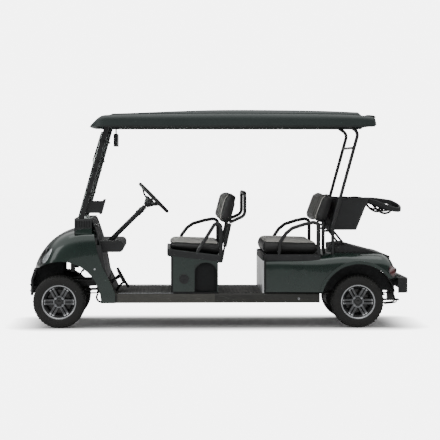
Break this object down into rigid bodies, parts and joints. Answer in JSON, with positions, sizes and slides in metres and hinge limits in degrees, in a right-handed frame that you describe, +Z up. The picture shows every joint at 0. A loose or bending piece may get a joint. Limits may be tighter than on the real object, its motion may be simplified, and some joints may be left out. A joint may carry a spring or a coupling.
{
  "type": "golf cart",
  "caption": "Open golf cart with canopy roof, folding windshield, bench seats in rows, rear bag basket with bag holders, and steered front wheels.",
  "frame": {"origin": "middle of the bounding box on the ground, with the cart standing on its wheels", "axes": "-X is the driving direction, +Y the passenger's side (the cart's right), +Z up"},
  "size_m": [3.312, 1.196, 1.9079],
  "materials": {
    "tyre": "matt tread rubber",
    "alloy": "machined and clear coated",
    "steel": "black coated",
    "green": "dark green gloss over moulded body panels",
    "black": "grained moulding",
    "clear": "clear sheet",
    "lamp": "clear lens",
    "red_lamp": "red lens",
    "trim": "smooth moulding",
    "mirror": "silvered",
    "silver": "brushed",
    "tan": "vinyl over foam",
    "floor": "ribbed mat"
  },
  "bodies": {
    "chassis": {"front_axle": "steel", "chassis_frame": "steel", "leaf_springs": "steel", "rear_axle": "steel", "floor_panel": "floor", "sills": "black", "pedals": "steel", "front_cowl": "green", "headlamps": "lamp", "cowl_cap": "black", "dash_panel": "black", "front_bumper": "black", "front_struts": "steel", "windshield_lower": "clear", "windshield_upper": "clear", "mirror": "mirror", "display": "trim", "steering_column": "black", "roof_canopy": "green", "rear_struts": "steel", "front_seat_pod": "green", "battery_block": "steel", "front_backrest": "tan", "front_seat_frame": "steel", "armrests": "steel", "rear_body": "green", "tail_lamps": "red_lamp", "rear_seat_rim": "black", "kick_panel": "silver", "rear_arch_liners": "black", "rear_backrest": "tan", "rear_seat_frame": "steel", "rear_deck": "black", "bag_basket": "black", "bag_holders": "black", "rear_bumper": "black"},
    "knuckle_left": {"knuckle_left": "steel"},
    "knuckle_right": {"knuckle_right": "steel"},
    "tie_rod": {"tie_rod": "steel"},
    "steering_wheel": {"steering_wheel": "trim"},
    "front_seat_lid": {"front_seat_cushion": "tan"},
    "rear_seat_lid": {"rear_seat_cushion": "tan"},
    "wheel_front_left": {"tyre_front_left": "tyre", "rim_front_left": "alloy"},
    "wheel_front_right": {"tyre_front_right": "tyre", "rim_front_right": "alloy"},
    "wheel_rear_left": {"tyre_rear_left": "tyre", "rim_rear_left": "alloy"},
    "wheel_rear_right": {"tyre_rear_right": "tyre", "rim_rear_right": "alloy"}
  },
  "joints": [
    {"name": "steer_left", "type": "hinge", "parent": "chassis", "child": "knuckle_left", "pos_m": [-1.379, -0.375, 0.2295], "axis": [0, 0, 1], "range_deg": [-25, 25]},
    {"name": "steer_right", "type": "hinge", "parent": "chassis", "child": "knuckle_right", "pos_m": [-1.379, 0.375, 0.2295], "axis": [0, 0, 1], "range_deg": [-25, 25]},
    {"name": "tie_rod_pivot", "type": "hinge", "parent": "knuckle_left", "child": "tie_rod", "pos_m": [-1.26873, -0.333, 0.1675], "axis": [0, 0, 1], "range_deg": [-30, 30]},
    {"name": "steering_turn", "type": "hinge", "parent": "chassis", "child": "steering_wheel", "pos_m": [-0.562, -0.285, 1.128], "axis": [0.7132, 0, 0.7009], "range_deg": [-400, 400]},
    {"name": "spin_front_left", "type": "hinge", "parent": "knuckle_left", "child": "wheel_front_left", "pos_m": [-1.379, -0.47, 0.2295], "axis": [0, 1, 0], "continuous": true},
    {"name": "spin_rear_left", "type": "hinge", "parent": "chassis", "child": "wheel_rear_left", "pos_m": [1.211, -0.49, 0.2295], "axis": [0, 1, 0], "continuous": true},
    {"name": "spin_front_right", "type": "hinge", "parent": "knuckle_right", "child": "wheel_front_right", "pos_m": [-1.379, 0.47, 0.2295], "axis": [0, 1, 0], "continuous": true},
    {"name": "spin_rear_right", "type": "hinge", "parent": "chassis", "child": "wheel_rear_right", "pos_m": [1.211, 0.49, 0.2295], "axis": [0, 1, 0], "continuous": true},
    {"name": "front_seat_lift", "type": "hinge", "parent": "chassis", "child": "front_seat_lid", "pos_m": [-0.43, 0, 0.6889], "axis": [0, -1, 0], "range_deg": [0, 60]},
    {"name": "rear_seat_lift", "type": "hinge", "parent": "chassis", "child": "rear_seat_lid", "pos_m": [0.383, 0, 0.6403], "axis": [0, -1, 0], "range_deg": [0, 60]}
  ],
  "couplings": [
    {"joint": "steer_right", "follows": "steer_left", "ratio": 1},
    {"joint": "tie_rod_pivot", "follows": "steer_left", "ratio": -1.12},
    {"joint": "steering_turn", "follows": "steer_left", "ratio": 16}
  ]
}
